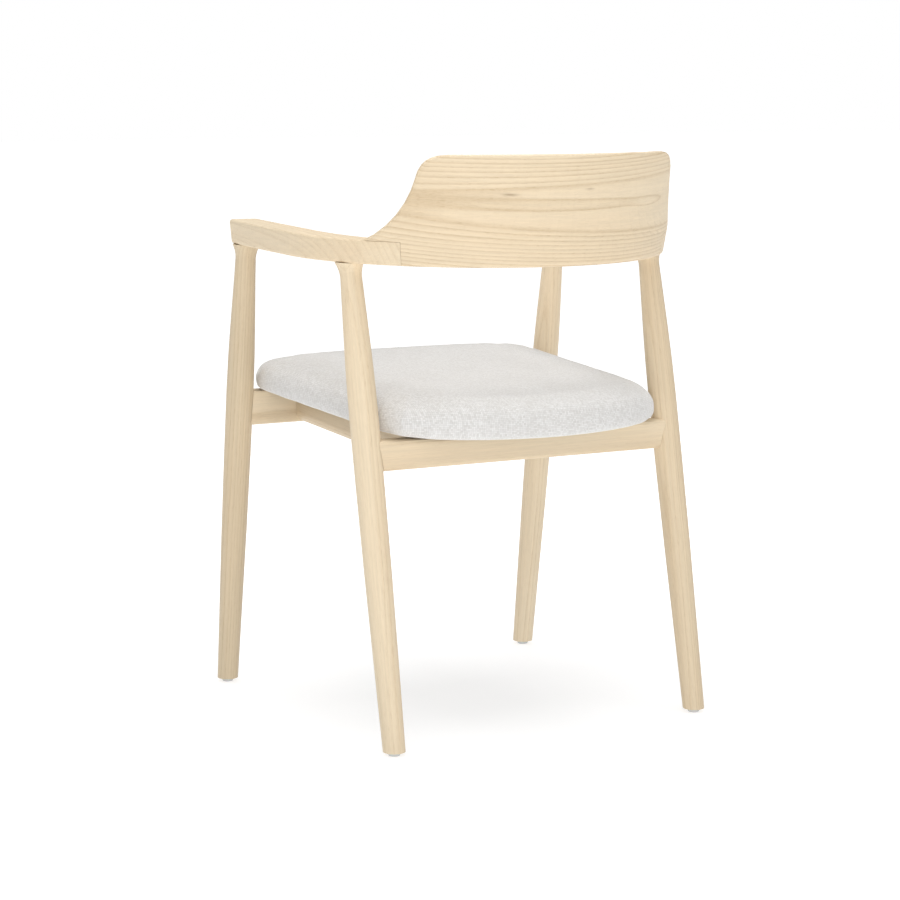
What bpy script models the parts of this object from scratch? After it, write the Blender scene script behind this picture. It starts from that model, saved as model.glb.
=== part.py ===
"""Wooden armchair: four turned legs, two arms and a curved back board lapped onto them,
four doweled rails, and an upholstered seat pad screwed up through the side rails.

Metres, +Z up. The chair faces -Y, its left side (as one sits in it) is +X, and the
origin is on the floor at the middle of the chair's box.
"""
import math

import bmesh
import bpy
from mathutils import Matrix, Vector

# ---------------------------------------------------------------- driving dimensions
GAP = 0.0003                    # clearance between pieces that touch

GLIDE_HEIGHT = 0.0050
GLIDE_RADIUS = 0.0078
GLIDE_BORE = 0.0013
PIN_HEAD_RADIUS = 0.0031
PIN_HEAD_RECESS = 0.0006
PIN_HEAD_HEIGHT = 0.0011
PIN_SHANK_RADIUS = 0.0010
PIN_TOP = 0.0200

FRONT_FOOT = (0.2499, -0.2652)  # leg axis on the floor
FRONT_HEAD = (0.2516, -0.1801)  # leg axis under the arm
REAR_FOOT = (0.2346, 0.2182)
REAR_HEAD = (0.2321, 0.0949)
LEG_STEPS = 24
LEG_RADII = (                   # height above the floor, radius
    (-0.010, 0.0146),
    (0.020, 0.0150),
    (0.118, 0.0164),
    (0.246, 0.0182),
    (0.374, 0.0190),
    (0.455, 0.0190),
    (0.520, 0.0175),
    (0.570, 0.0157),
    (0.600, 0.0146),
)
NECK_RADIUS = 0.0142
FLARE_HEIGHT = 0.020
FLARE_RADIUS = 0.0195
TENON_RADIUS = 0.0090
TENON_LENGTH = 0.0180

# Arms and back share one plan curve: half an ellipse round the back, running on forward
# along each arm. All heights on it are above a common sloping underside.
CURVE_HALF_WIDTH = 0.2730
CURVE_DEPTH = 0.2602
CURVE_MIDDLE_Y = -0.0048
ARM_TOE_IN = 0.14               # how fast the arms close in towards the front
UNDERSIDE_AT_FRONT = 0.6380     # height over the front legs
UNDERSIDE_SLOPE = -0.030
BACK_RAKE = 0.17                # outward lean of the outer face, per metre of height
ARM_RAKE = 0.10
ARM_FRONT_Y = -0.1995
ARM_WIDTH = 0.0450
ARM_THICKNESS = 0.0335
ARM_EDGE_RADIUS = 0.0040
ARM_LAP_RADIUS = 0.0006         # the edge that the back board's wing covers
ARM_EDGE_RUN = 0.0350           # the covered edge rounds off over this length
ARM_END_RADIUS = 0.0100
SEAM_AT = 0.2205                # along the plan curve, from the middle of the back
LAP_HEIGHT = 0.0310             # the back board's wings stand on the arms at this height

BACK_TOP = 0.7700
BACK_FOOT_WIDTH = 0.0270        # board thickness at its underside
BACK_CREST_WIDTH = 0.0180       # board thickness at its top edge
BACK_EDGE_RADIUS = 0.0050
WING_TOE = (0.2830, 0.0280)     # along the curve, above the underside
WING_FOOT = (0.2672, 0.0340)
WING_PULL_LOW = (0.2342, 0.0512)
WING_PULL_HIGH = (0.2090, 0.0780)
WING_SHOULDER = (0.1976, 0.1185)
WING_CORNER = (0.1890, 0.1425)
WING_CREST = (0.1600, 0.1425)

SEAT_SLOPE = 0.0585             # the seat frame falls this much per metre to the rear
FRAME_BOTTOM = 0.3694           # underside of the rails at the origin
RAIL_HEIGHT = 0.0480            # of the front and side rails, which carry the seat
REAR_RAIL_HEIGHT = 0.0400
RAIL_THICKNESS = 0.0240
RAIL_EDGE = 0.0050
FRONT_RAIL_Y = -0.2117
REAR_RAIL_Y = 0.1438
SIDE_RAIL_OUTER = 0.1680
SIDE_RAIL_THICKNESS = 0.0320
SIDE_RAIL_ROUND = 0.0170        # round of its lower outer edge

DOWEL_RADIUS = 0.0040
DOWEL_SIDES = 12
DOWEL_HEIGHTS = (0.0120, 0.0285)
DOWEL_IN_POST = 0.0120
DOWEL_IN_RAIL = 0.0200
BACK_DOWEL_HALF = 0.0180
BACK_DOWEL_INSETS = (0.0100, 0.0225)

PAD_FRONT_HALF = 0.2345
PAD_REAR_HALF = 0.2125
PAD_FRONT_Y = -0.2620
PAD_REAR_Y = 0.2340
PAD_FRONT_BOW = 0.0100
PAD_REAR_BOW = 0.0600
PAD_CORNER_EXPONENT = 9.0
PAD_DROOP = 0.0060              # how far the pad's rear edge hangs, outside the panel
PAD_POINTS = 56
PAD_PROFILE = (                 # inset from the widest outline, height in the seat frame
    (0.0120, 0.0497),
    (0.0030, 0.0517),
    (0.0000, 0.0590),
    (0.0014, 0.0705),
    (0.0070, 0.0820),
    (0.0180, 0.0897),
    (0.0400, 0.0943),
    (0.0800, 0.0963),
    (0.1500, 0.0970),
)
COVER_THICKNESS = 0.0015
PANEL_INSET = 0.0155
PANEL_THICKNESS = 0.0090
DUST_INSET = 0.0200
DUST_THICKNESS = 0.0011

SCREW_RADIUS = 0.0023
SCREW_HEAD_RADIUS = 0.0045
SCREW_HEAD_HEIGHT = 0.0030
SCREW_SEAT = 0.0100             # depth of the counterbore under the side rail
SCREW_TOP = 0.0550
SCREW_X = 0.1470
SCREW_YS = (-0.1350, 0.0700)

SIDES = {"left": 1.0, "right": -1.0}
ENDS = {"front": (FRONT_FOOT, FRONT_HEAD), "rear": (REAR_FOOT, REAR_HEAD)}

# ------------------------------------------------------------------------ materials
FINISHES = {                    # colour, roughness, metallic
    "ash_wood": ((0.72, 0.56, 0.38, 1.0), 0.45, 0.0),
    "beech_dowel": ((0.70, 0.50, 0.32, 1.0), 0.60, 0.0),
    "plywood": ((0.60, 0.45, 0.30, 1.0), 0.60, 0.0),
    "woven_fabric": ((0.72, 0.71, 0.69, 1.0), 0.90, 0.0),
    "seat_foam": ((0.85, 0.80, 0.62, 1.0), 0.95, 0.0),
    "black_lining": ((0.02, 0.02, 0.02, 1.0), 0.90, 0.0),
    "glide_plastic": ((0.78, 0.79, 0.79, 1.0), 0.40, 0.0),
    "zinc_steel": ((0.62, 0.63, 0.64, 1.0), 0.35, 1.0),
}


def make_material(name):
    """Return the named finish, made once."""
    if name in bpy.data.materials:
        return bpy.data.materials[name]
    colour, roughness, metallic = FINISHES[name]
    material = bpy.data.materials.new(name)
    material.use_nodes = True
    shader = material.node_tree.nodes["Principled BSDF"]
    shader.inputs["Base Color"].default_value = colour
    shader.inputs["Roughness"].default_value = roughness
    shader.inputs["Metallic"].default_value = metallic
    return material


# ------------------------------------------------------------------- object helpers
def clear_scene():
    for item in list(bpy.data.objects):
        bpy.data.objects.remove(item, do_unlink=True)


def make_collection(name):
    collection = bpy.data.collections.new(name)
    bpy.context.scene.collection.children.link(collection)
    return collection


def add_part(name, mesh, finish, matrix=None):
    """Put a mesh in the chair's collection under its own name and finish."""
    part = bpy.data.objects.new(name, mesh)
    mesh.materials.append(make_material(finish))
    if matrix is not None:
        part.matrix_world = matrix
    PARTS.objects.link(part)
    return part


def add_cutter(name, mesh, matrix=None):
    """Put a mesh among the cutters, which show as wires and are left out."""
    cutter = bpy.data.objects.new(name, mesh)
    if matrix is not None:
        cutter.matrix_world = matrix
    cutter.hide_render = True
    cutter.display_type = "WIRE"
    CUTTERS.objects.link(cutter)
    return cutter


def add_boolean(part, other, operation="DIFFERENCE"):
    modifier = part.modifiers.new(other.name, "BOOLEAN")
    modifier.operation = operation
    modifier.solver = "EXACT"
    modifier.object = other


def add_bevel(part, width, segments=2):
    modifier = part.modifiers.new("rounding", "BEVEL")
    modifier.width = width
    modifier.segments = segments
    modifier.limit_method = "ANGLE"
    modifier.angle_limit = math.radians(50)


def shade(mesh, angle=35):
    mesh.shade_smooth()
    mesh.set_sharp_from_angle(angle=math.radians(angle))


def cylinder_mesh(name, radius, length, sides=DOWEL_SIDES):
    """A capped cylinder along Z, centred on its origin."""
    mesh = bpy.data.meshes.new(name)
    shape = bmesh.new()
    bmesh.ops.create_cone(shape, cap_ends=True, segments=sides, radius1=radius,
                          radius2=radius, depth=length)
    shape.to_mesh(mesh)
    shape.free()
    return mesh


def box_mesh(name, size):
    mesh = bpy.data.meshes.new(name)
    shape = bmesh.new()
    bmesh.ops.create_cube(shape, size=1.0)
    bmesh.ops.scale(shape, vec=size, verts=shape.verts)
    shape.to_mesh(mesh)
    shape.free()
    return mesh


def ring_mesh(name, rings, caps=True, closed=False):
    """Join rings of equal length into a skin, capped at both ends or closed on itself."""
    mesh = bpy.data.meshes.new(name)
    shape = bmesh.new()
    rows = [[shape.verts.new(point) for point in ring] for ring in rings]
    count = len(rows[0])
    pairs = list(zip(rows[:-1], rows[1:]))
    if closed:
        pairs.append((rows[-1], rows[0]))
    for low, high in pairs:
        for i in range(count):
            j = (i + 1) % count
            shape.faces.new((low[i], low[j], high[j], high[i]))
    if caps:
        shape.faces.new(list(reversed(rows[0])))
        shape.faces.new(rows[-1])
    bmesh.ops.recalc_face_normals(shape, faces=shape.faces)
    shape.to_mesh(mesh)
    shape.free()
    return mesh


def profile_mesh(name, points, closed=False):
    """A line of (radius, height) points in the XZ plane, ready for a Screw modifier."""
    mesh = bpy.data.meshes.new(name)
    vertices = [(radius, 0.0, height) for radius, height in points]
    edges = [(i, i + 1) for i in range(len(points) - 1)]
    if closed:
        edges.append((len(points) - 1, 0))
    mesh.from_pydata(vertices, edges, [])
    return mesh


def add_screw(part, steps):
    """Turn a profile once round its own Z axis."""
    modifier = part.modifiers.new("turning", "SCREW")
    modifier.axis = "Z"
    modifier.angle = math.tau
    modifier.steps = steps
    modifier.render_steps = steps
    modifier.use_merge_vertices = True
    modifier.merge_threshold = 0.0001
    modifier.use_smooth_shade = True


def axis_matrix(start, end):
    """Local Z runs from start to end, with the origin at start."""
    direction = (Vector(end) - Vector(start)).normalized()
    turn = Vector((0.0, 0.0, 1.0)).rotation_difference(direction).to_matrix().to_4x4()
    return Matrix.Translation(start) @ turn


# ------------------------------------------------------------------ plan curve maths
def smooth_step(value):
    value = min(max(value, 0.0), 1.0)
    return value * value * (3.0 - 2.0 * value)


def underside(y):
    """Height of the common underside of arms and back."""
    return UNDERSIDE_AT_FRONT + UNDERSIDE_SLOPE * (y - FRONT_HEAD[1])


def plan_point(angle):
    """Plan curve by angle: 0 at the middle of the back, 90 degrees where an arm starts."""
    if angle <= math.pi / 2:
        return Vector((CURVE_HALF_WIDTH * math.sin(angle),
                       CURVE_MIDDLE_Y + CURVE_DEPTH * math.cos(angle)))
    run = (angle - math.pi / 2) * CURVE_DEPTH
    return Vector((CURVE_HALF_WIDTH - ARM_TOE_IN * run * run, CURVE_MIDDLE_Y - run))


def measure_plan_curve():
    """List (distance, point) along half of the plan curve, from the back forwards."""
    steps = 900
    reach = math.pi / 2 + (CURVE_MIDDLE_Y - ARM_FRONT_Y) / CURVE_DEPTH
    table = []
    distance = 0.0
    for i in range(steps + 1):
        point = plan_point(reach * i / steps)
        if table:
            distance += (point - table[-1][1]).length
        table.append((distance, point))
    return table


PLAN = measure_plan_curve()
ARM_END_AT = PLAN[-1][0]


def plan_frame(distance):
    """Point and outward normal of the plan curve; negative distance is the right side."""
    side = -1.0 if distance < 0.0 else 1.0
    span = abs(distance)
    low = 0
    high = len(PLAN) - 1
    while high - low > 1:
        middle = (low + high) // 2
        if PLAN[middle][0] <= span:
            low = middle
        else:
            high = middle
    part = (span - PLAN[low][0]) / (PLAN[high][0] - PLAN[low][0])
    point = PLAN[low][1].lerp(PLAN[high][1], part)
    before = PLAN[max(low - 6, 0)][1]
    after = PLAN[min(high + 6, len(PLAN) - 1)][1]
    along = (after - before).normalized()
    if span < 1e-6:
        along = Vector((1.0, 0.0))
    normal = Vector((-along.y, along.x))
    return Vector((side * point.x, point.y)), Vector((side * normal.x, normal.y))


def rake_at(distance):
    forward = smooth_step((abs(distance) - 0.27) / 0.12)
    return BACK_RAKE + (ARM_RAKE - BACK_RAKE) * forward


def width_at(distance):
    """Width of the wood at its underside: board at the back, full arm further forward."""
    forward = smooth_step((abs(distance) - 0.08) / 0.26)
    return BACK_FOOT_WIDTH + (ARM_WIDTH - BACK_FOOT_WIDTH) * forward


def arm_height_at(distance):
    forward = smooth_step((distance - SEAM_AT) / 0.25)
    return LAP_HEIGHT + (ARM_THICKNESS - LAP_HEIGHT) * forward


def curve_point(distance, inset, height):
    """A point of the wood: inset inwards from the leaning outer face, above the underside."""
    point, normal = plan_frame(distance)
    place = point + normal * (rake_at(distance) * height - inset)
    return Vector((place.x, place.y, underside(place.y) + height))


# ------------------------------------------------------------------------------ legs
def leg_radius(height, top):
    """Radius of the turned leg at a height: a long swell, a neck and a flared head."""
    flare = (height - (top - FLARE_HEIGHT)) / FLARE_HEIGHT
    if flare >= 0.0:
        flare = min(flare, 1.0)
        return NECK_RADIUS + (FLARE_RADIUS - NECK_RADIUS) * flare ** 2
    knots = LEG_RADII + ((top - FLARE_HEIGHT, NECK_RADIUS),)
    for i in range(len(knots) - 1):
        if height <= knots[i + 1][0]:
            break
    before = knots[max(i - 1, 0)]
    start, end = knots[i], knots[i + 1]
    after = knots[min(i + 2, len(knots) - 1)]
    span = end[0] - start[0]
    slope_start = (end[1] - before[1]) / (end[0] - before[0])
    slope_end = (after[1] - start[1]) / (after[0] - start[0])
    t = (height - start[0]) / span
    return ((2 * t ** 3 - 3 * t ** 2 + 1) * start[1]
            + (t ** 3 - 2 * t ** 2 + t) * span * slope_start
            + (3 * t ** 2 - 2 * t ** 3) * end[1]
            + (t ** 3 - t ** 2) * span * slope_end)


def leg_profile(top, grow=0.0):
    """Turned outline from the head down to below the foot."""
    heights = [top + 0.010, top]
    heights += [top - FLARE_HEIGHT * part for part in (0.25, 0.5, 0.75, 1.0)]
    heights += [0.595, 0.560, 0.520, 0.480, 0.430, 0.340, 0.230, 0.118, 0.020, -0.010]
    points = [(leg_radius(height, top) + grow, height) for height in heights]
    return [(0.0, heights[0])] + points + [(0.0, heights[-1])]


def leg_axis(end, side):
    foot, head = ENDS[end]
    top = underside(head[1])
    return Vector((side * foot[0], foot[1], 0.0)), Vector((side * head[0], head[1], top))


def stretched_profile(end, grow=0.0):
    """The leg's outline with its heights measured along the slanted axis."""
    foot, head = leg_axis(end, 1.0)
    stretch = (head - foot).length / head.z
    return [(radius, height * stretch) for radius, height in leg_profile(head.z, grow)]


def make_leg(end, side_name, side):
    foot, head = leg_axis(end, side)
    matrix = axis_matrix(foot, head)
    name = f"leg_{end}_{side_name}"
    leg = add_part(name, profile_mesh(name, stretched_profile(end)), "ash_wood", matrix)
    add_screw(leg, LEG_STEPS)

    slab = box_mesh(name + "_head_plane", (0.12, 0.12, 0.04))
    tilt = Matrix.Rotation(math.atan(UNDERSIDE_SLOPE), 4, "X")
    place = Matrix.Translation(head - Vector((0.0, 0.0, GAP))) @ tilt
    add_boolean(leg, add_cutter(slab.name, slab, place @ Matrix.Translation((0, 0, 0.02))))

    sole = box_mesh(name + "_foot_plane", (0.12, 0.12, 0.04))
    depth = GLIDE_HEIGHT + GAP - 0.02
    add_boolean(leg, add_cutter(sole.name, sole, Matrix.Translation((foot.x, foot.y, depth))))

    reach = TENON_LENGTH + 0.030
    middle = (head - foot).length + TENON_LENGTH - reach / 2
    tenon = cylinder_mesh(name + "_tenon", TENON_RADIUS, reach, 20)
    add_boolean(leg, add_cutter(tenon.name, tenon, matrix @ Matrix.Translation((0, 0, middle))),
                "UNION")

    mortise = cylinder_mesh(name + "_mortise", TENON_RADIUS + GAP, reach + 0.0008, 20)
    lift = middle + 0.0004
    MORTISES[end, side_name] = add_cutter(mortise.name, mortise,
                                          matrix @ Matrix.Translation((0, 0, lift)))

    room = add_cutter(name + "_room", profile_mesh(name + "_room", stretched_profile(end, GAP)),
                      matrix)
    add_screw(room, LEG_STEPS)
    ROOMS[end, side_name] = room
    return leg


def make_glide(end, side_name, side, leg):
    """Nail-on glide under a foot: a plastic disc and the pin that holds it."""
    foot, head = leg_axis(end, side)
    lean = (head - foot) / head.z
    centre = foot + lean * GLIDE_HEIGHT
    place = Matrix.Translation((centre.x, centre.y, 0.0))
    recess = PIN_HEAD_RECESS + PIN_HEAD_HEIGHT + GAP
    edge = 0.0008
    disc = [
        (GLIDE_BORE, GLIDE_HEIGHT),
        (GLIDE_RADIUS - 0.0004, GLIDE_HEIGHT),
        (GLIDE_RADIUS, GLIDE_HEIGHT - 0.0004),
        (GLIDE_RADIUS, edge),
        (GLIDE_RADIUS - edge, 0.0),
        (PIN_HEAD_RADIUS + GAP, 0.0),
        (PIN_HEAD_RADIUS + GAP, recess),
        (GLIDE_BORE, recess),
    ]
    name = f"glide_{end}_{side_name}"
    glide = add_part(name, profile_mesh(name, disc, closed=True), "glide_plastic", place)
    add_screw(glide, 20)

    head_top = PIN_HEAD_RECESS + PIN_HEAD_HEIGHT
    nail = [
        (0.0, PIN_TOP),
        (PIN_SHANK_RADIUS, PIN_TOP - 0.003),
        (PIN_SHANK_RADIUS, head_top),
        (PIN_HEAD_RADIUS, head_top),
        (PIN_HEAD_RADIUS, PIN_HEAD_RECESS),
        (0.0, PIN_HEAD_RECESS),
    ]
    name = f"glide_pin_{end}_{side_name}"
    pin = add_part(name, profile_mesh(name, nail), "zinc_steel", place)
    add_screw(pin, 10)

    length = PIN_TOP + GAP
    bore = cylinder_mesh(name + "_bore", GLIDE_BORE, length, 10)
    add_boolean(leg, add_cutter(bore.name, bore, place @ Matrix.Translation((0, 0, length / 2))))


# --------------------------------------------------------------------- arms and back
def rounded_section(width, height, radius, outer_top, segments=3):
    """(inset, height) points round a rectangle with rounded corners.

    Its outer top corner has a radius of its own.
    """
    corners = ((width - radius, height - radius, 0, radius),
               (outer_top, height - outer_top, 90, outer_top),
               (radius, radius, 180, radius), (width - radius, radius, 270, radius))
    points = []
    for x, z, start, round_by in corners:
        for i in range(segments + 1):
            angle = math.radians(start + 90 * i / segments)
            points.append((x + round_by * math.cos(angle), z + round_by * math.sin(angle)))
    return points


def arm_rings():
    """Sections of the left arm, from its seam with the back to its rounded front end."""
    start = SEAM_AT + GAP
    bend = 14
    straight_end = ARM_END_AT - ARM_END_RADIUS
    places = [start + (straight_end - start) * i / bend for i in range(bend + 1)]
    places += [straight_end + ARM_END_RADIUS * math.sin(math.radians(a))
               for a in (20, 38, 54, 68, 79, 90)]
    rings = []
    for place in places:
        reach = max(place - straight_end, 0.0)
        narrow = ARM_END_RADIUS - math.sqrt(max(ARM_END_RADIUS ** 2 - reach ** 2, 0.0))
        soft = max(reach - (ARM_END_RADIUS - ARM_EDGE_RADIUS), 0.0)
        lower = ARM_EDGE_RADIUS - math.sqrt(max(ARM_EDGE_RADIUS ** 2 - soft ** 2, 0.0))
        width = width_at(place) - 2 * narrow
        height = arm_height_at(place) - 2 * lower
        radius = min(ARM_EDGE_RADIUS, height / 2 - 0.0001)
        clear = min(max((place - WING_FOOT[0]) / ARM_EDGE_RUN, 0.0), 1.0)
        outer_top = ARM_LAP_RADIUS + (radius - ARM_LAP_RADIUS) * clear
        section = rounded_section(width, height, radius, outer_top)
        rings.append([curve_point(place, narrow + inset, lower + up) for inset, up in section])
    return rings


def mirrored(rings):
    return [[Vector((-point.x, point.y, point.z)) for point in ring] for ring in rings]


def make_arm(side_name, side):
    rings = arm_rings()
    if side < 0.0:
        rings = mirrored(rings)
    name = f"arm_{side_name}"
    mesh = ring_mesh(name, rings)
    shade(mesh)
    arm = add_part(name, mesh, "ash_wood")
    for end in ENDS:
        add_boolean(arm, MORTISES[end, side_name])
    return arm


def bezier(points, t):
    """A point on the Bezier curve with these control points."""
    while len(points) > 1:
        points = [a.lerp(b, t) for a, b in zip(points[:-1], points[1:])]
    return points[0]


def wing_outline():
    """End outline of the back board, (distance, height), from below the toe to the crest."""
    low = [Vector(p) for p in (WING_FOOT, WING_PULL_LOW, WING_PULL_HIGH, WING_SHOULDER)]
    high = [Vector(p) for p in (WING_SHOULDER, WING_CORNER, WING_CREST)]
    outline = [Vector((WING_TOE[0], 0.0)), Vector(WING_TOE)]
    outline += [bezier(low, i / 24) for i in range(25)]
    outline += [bezier(high, i / 12) for i in range(1, 13)]
    return outline


def wing_reach(outline, height):
    """How far along the curve the board goes at a height above its underside."""
    for low, high in zip(outline[:-1], outline[1:]):
        if height <= high.y and high.y > low.y:
            return low.x + (high.x - low.x) * (height - low.y) / (high.y - low.y)
    return outline[-1].x


def edge_distance(outline, place):
    """Distance from a point of the board's face to its end and top outline."""
    crest = Vector((0.0, outline[-1].y))
    nearest = 1.0
    for start, end in zip(outline, outline[1:] + [crest]):
        along = end - start
        t = (place - start).dot(along) / max(along.length_squared, 1e-12)
        nearest = min(nearest, (start + along * min(max(t, 0.0), 1.0) - place).length)
    return nearest


def pull_in(distance, radius):
    """How far a rounded edge of this radius falls back at a distance from the edge."""
    if distance >= radius:
        return 0.0
    return radius - math.sqrt(radius ** 2 - (radius - distance) ** 2)


def back_width(distance, height):
    """Thickness of the board: sculpted from the arm's width to a slim top edge."""
    rise = smooth_step((height - LAP_HEIGHT) / 0.085)
    foot = width_at(distance)
    return foot + (BACK_CREST_WIDTH - foot) * rise


def back_point(distance, inset, height):
    """A point of the back board, lifted so that its top edge is level."""
    crest = WING_CREST[1]
    point, normal = plan_frame(distance)
    top_y = point.y + normal.y * (BACK_RAKE * crest - inset)
    spare = BACK_TOP - underside(top_y) - crest
    lift = spare * smooth_step((height - LAP_HEIGHT) / (crest - LAP_HEIGHT))
    return curve_point(distance, inset, height + lift)


def make_back():
    """The back board: rows at rising heights, each stretched to the wings' outline."""
    outline = wing_outline()
    crest = WING_CREST[1]
    heights = [0.0, 0.0012, 0.0040, 0.0170, 0.0310, 0.0400, 0.0520, 0.0660, 0.0820, 0.0980,
               0.1120, 0.1220, 0.1300, 0.1350, 0.1385, 0.1410, crest]
    inner = [i / 11 * 0.93 for i in range(12)]
    half = inner + [0.965, 0.985, 0.995, 1.0]
    spans = [-u for u in reversed(half[1:])] + half
    columns = []
    for span in spans:
        outer_side = []
        inner_side = []
        for height in heights:
            reach = wing_reach(outline, height)
            distance = span * reach
            place = Vector((abs(distance), height))
            soft = pull_in(edge_distance(outline, place), BACK_EDGE_RADIUS)
            soft = max(soft, pull_in(height, ARM_EDGE_RADIUS))
            thickness = back_width(distance, height)
            outer_side.append(back_point(distance, soft, height))
            inner_side.append(back_point(distance, thickness - soft, height))
        columns.append((outer_side, inner_side))
    mesh = bpy.data.meshes.new("back_board")
    shape = bmesh.new()
    grid = [([shape.verts.new(p) for p in outer], [shape.verts.new(p) for p in inner])
            for outer, inner in columns]
    last = len(heights) - 1
    for (outer_a, inner_a), (outer_b, inner_b) in zip(grid[:-1], grid[1:]):
        for i in range(last):
            shape.faces.new((outer_a[i], outer_b[i], outer_b[i + 1], outer_a[i + 1]))
            shape.faces.new((inner_a[i], inner_a[i + 1], inner_b[i + 1], inner_b[i]))
        shape.faces.new((outer_a[0], inner_a[0], inner_b[0], outer_b[0]))
        shape.faces.new((outer_a[last], outer_b[last], inner_b[last], inner_a[last]))
    for outer, inner in (grid[0], grid[-1]):
        for i in range(last):
            shape.faces.new((outer[i], outer[i + 1], inner[i + 1], inner[i]))
    bmesh.ops.recalc_face_normals(shape, faces=shape.faces)
    shape.to_mesh(mesh)
    shape.free()
    shade(mesh)
    back = add_part("back_board", mesh, "ash_wood")
    for side_name, side in SIDES.items():
        add_boolean(back, notch_cutter(side_name, side))
    return back


def notch_cutter(side_name, side):
    """Room for an arm's rear end: everything forward of the seam and below the lap."""
    past = 0.0200
    count = 12
    reach = WING_TOE[0] + 0.02 - SEAM_AT
    rings = []
    for i in range(count + 1):
        place = SEAM_AT + reach * i / count
        width = width_at(place)
        top = arm_height_at(place) + GAP
        corners = ((-past, -past), (width + past, -past), (width + past, top), (-past, top))
        rings.append([curve_point(place, inset, up) for inset, up in corners])
    if side < 0.0:
        rings = mirrored(rings)
    name = f"notch_{side_name}"
    return add_cutter(name, ring_mesh(name, rings))


# ----------------------------------------------------------------------- seat frame
def seat_matrix():
    """Seat frame: level across, falling to the rear, zero at the rails' underside."""
    return (Matrix.Translation((0.0, 0.0, FRAME_BOTTOM))
            @ Matrix.Rotation(-math.atan(SEAT_SLOPE), 4, "X"))


def seat_y(y):
    """A world depth measured along the sloping seat frame."""
    return y * math.sqrt(1.0 + SEAT_SLOPE ** 2)


def leg_x_at_rail(end):
    foot, head = ENDS[end]
    return foot[0] + (head[0] - foot[0]) * 0.62


def make_cross_rail(end, depth):
    """Front or rear rail between two legs, its ends coped to the round legs."""
    half = leg_x_at_rail(end)
    name = f"rail_{end}"
    tall = RAIL_HEIGHT if end == "front" else REAR_RAIL_HEIGHT
    mesh = box_mesh(name, (2 * half, RAIL_THICKNESS, tall))
    rail = add_part(name, mesh, "ash_wood", seat_matrix()
                    @ Matrix.Translation((0.0, seat_y(depth), tall / 2)))
    add_bevel(rail, RAIL_EDGE if end == "rear" else 0.0020)
    for side_name in SIDES:
        add_boolean(rail, ROOMS[end, side_name])
    return rail


def side_rail_section():
    """(x, height) outline of the left side rail, its lower outer edge well rounded."""
    inner = SIDE_RAIL_OUTER - SIDE_RAIL_THICKNESS
    soft = 0.0015
    points = [(inner, soft), (inner + soft, 0.0)]
    centre = (SIDE_RAIL_OUTER - SIDE_RAIL_ROUND, SIDE_RAIL_ROUND)
    for i in range(8):
        angle = math.radians(-90 + 90 * i / 7)
        points.append((centre[0] + SIDE_RAIL_ROUND * math.cos(angle),
                       centre[1] + SIDE_RAIL_ROUND * math.sin(angle)))
    points += [(SIDE_RAIL_OUTER, RAIL_HEIGHT - soft), (SIDE_RAIL_OUTER - soft, RAIL_HEIGHT),
               (inner + soft, RAIL_HEIGHT), (inner, RAIL_HEIGHT - soft)]
    return points


def make_side_rail(side_name, side):
    start = seat_y(FRONT_RAIL_Y) + RAIL_THICKNESS / 2 + GAP
    end = seat_y(REAR_RAIL_Y) - RAIL_THICKNESS / 2 - GAP
    section = side_rail_section()
    rings = [[Vector((side * x, y, z)) for x, z in section] for y in (start, end)]
    name = f"rail_side_{side_name}"
    return add_part(name, ring_mesh(name, rings), "ash_wood", seat_matrix())


def add_dowel(name, matrix, start, end, neighbours):
    """A dowel along local Z from start to end, with its hole in each piece it joins."""
    length = end - start
    place = matrix @ Matrix.Translation((0.0, 0.0, (start + end) / 2))
    add_part(name, cylinder_mesh(name, DOWEL_RADIUS, length), "beech_dowel", place)
    hole = cylinder_mesh(name + "_hole", DOWEL_RADIUS + GAP, length + 0.0008)
    cutter = add_cutter(hole.name, hole, place)
    for piece in neighbours:
        add_boolean(piece, cutter)


def make_rail_dowels(end, depth, rail, legs):
    """Two dowels at each end of a cross rail, level with the seat frame."""
    turn = Matrix.Rotation(math.pi / 2, 4, "Y")
    for side_name, side in SIDES.items():
        foot, head = leg_axis(end, side)
        for number, height in enumerate(DOWEL_HEIGHTS, start=1):
            centre = seat_matrix() @ Vector((0.0, seat_y(depth), height))
            axis_x = foot.x + (head.x - foot.x) * centre.z / head.z
            surface = abs(axis_x) - leg_radius(centre.z, head.z)
            matrix = seat_matrix() @ Matrix.Translation((0.0, seat_y(depth), height)) @ turn
            if side < 0.0:
                matrix = matrix @ Matrix.Rotation(math.pi, 4, "X")
            add_dowel(f"dowel_{end}_rail_{side_name}_{number}", matrix,
                      surface - DOWEL_IN_RAIL, surface + DOWEL_IN_POST,
                      (rail, legs[end, side_name]))


def make_side_dowels(rails, side_rails):
    """Two dowels at each end of each side rail."""
    turn = Matrix.Rotation(-math.pi / 2, 4, "X")
    x = SIDE_RAIL_OUTER - SIDE_RAIL_THICKNESS / 2
    faces = {"front": seat_y(FRONT_RAIL_Y) + RAIL_THICKNESS / 2,
             "rear": seat_y(REAR_RAIL_Y) - RAIL_THICKNESS / 2}
    for side_name, side in SIDES.items():
        for end, face in faces.items():
            inward = 1.0 if end == "front" else -1.0
            ends = sorted((face - inward * DOWEL_IN_POST, face + inward * DOWEL_IN_RAIL))
            for number, height in enumerate((0.0150, 0.0290), start=1):
                matrix = seat_matrix() @ Matrix.Translation((side * x, 0.0, height)) @ turn
                add_dowel(f"dowel_side_rail_{end}_{side_name}_{number}", matrix,
                          ends[0], ends[1], (rails[end], side_rails[side_name]))


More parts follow.
